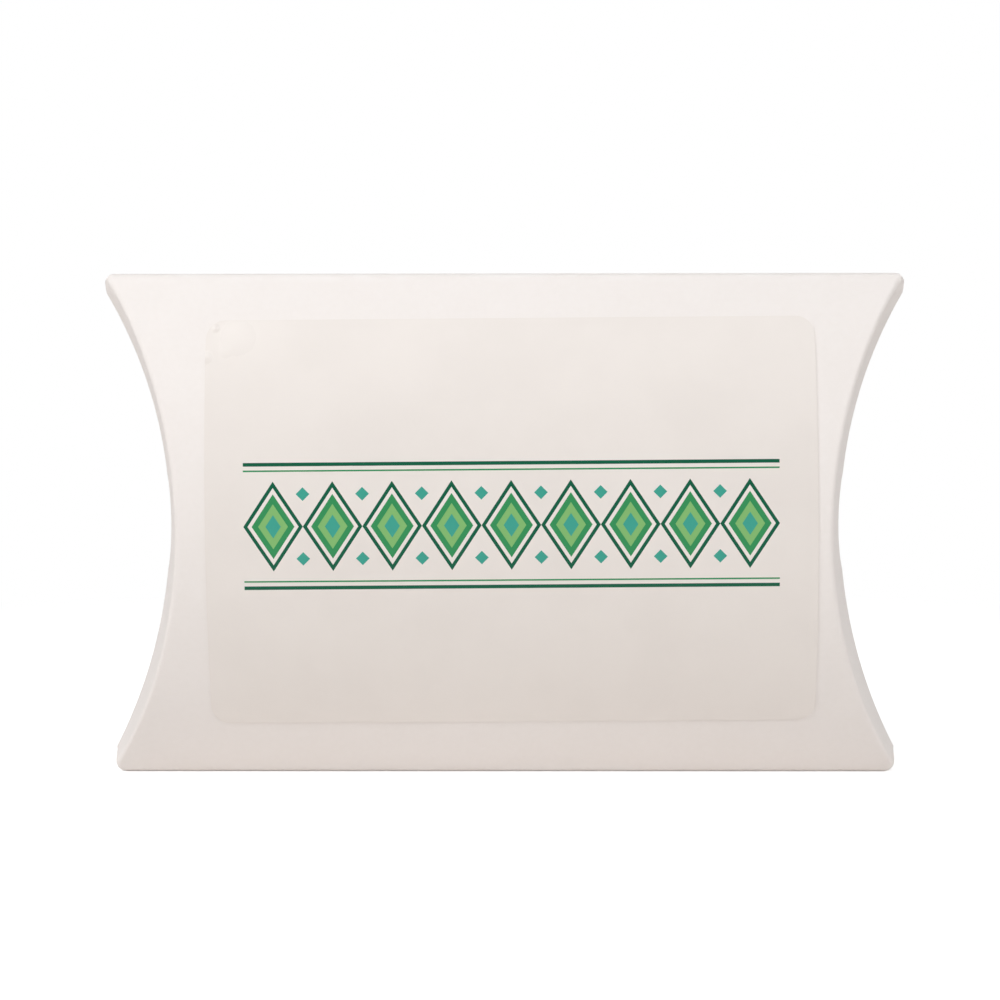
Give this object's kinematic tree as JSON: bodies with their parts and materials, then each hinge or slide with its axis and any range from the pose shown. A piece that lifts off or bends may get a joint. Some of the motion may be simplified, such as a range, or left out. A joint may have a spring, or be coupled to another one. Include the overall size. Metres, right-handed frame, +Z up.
{
  "type": "pillow box",
  "caption": "Pillow-shaped folding carton of white card with bowed panels, a glued seam, end flaps that close over each other on curved scores, and a clear label on its front.",
  "frame": {"origin": "middle of the flat under the bottom crease, on which the box stands", "axes": "+X to the right along the long creases, +Y from the front panel to the back panel, +Z up"},
  "size_m": [0.101, 0.0202, 0.0636],
  "materials": {
    "white_card": "uncoated matt white folding card",
    "dry_glue": "dried white glue",
    "label_film": "thin clear printed film, satin"
  },
  "bodies": {
    "sleeve": {"front_panel": "white_card", "back_panel": "white_card", "top_fold": "white_card", "bottom_fold": "white_card", "glue_tab": "white_card", "glue_strip": "dry_glue", "label": "label_film"},
    "left_inner": {"left_inner_flap": "white_card"},
    "left_outer": {"left_outer_flap": "white_card"},
    "right_inner": {"right_inner_flap": "white_card"},
    "right_outer": {"right_outer_flap": "white_card"}
  },
  "joints": [
    {"name": "left_outer_score", "type": "hinge", "parent": "sleeve", "child": "left_outer", "pos_m": [-0.04088, -0.01, 0.0318], "axis": [0, 0, 1], "range_deg": [0, 95]},
    {"name": "left_inner_score", "type": "hinge", "parent": "sleeve", "child": "left_inner", "pos_m": [-0.04312, 0.01, 0.0318], "axis": [0, 0, -1], "range_deg": [0, 76]},
    {"name": "right_outer_score", "type": "hinge", "parent": "sleeve", "child": "right_outer", "pos_m": [0.04088, -0.01, 0.0318], "axis": [0, 0, -1], "range_deg": [0, 95]},
    {"name": "right_inner_score", "type": "hinge", "parent": "sleeve", "child": "right_inner", "pos_m": [0.04312, 0.01, 0.0318], "axis": [0, 0, 1], "range_deg": [0, 76]}
  ],
  "couplings": [
    {"joint": "left_inner_score", "follows": "left_outer_score", "ratio": 0.8},
    {"joint": "right_inner_score", "follows": "right_outer_score", "ratio": 0.8}
  ]
}
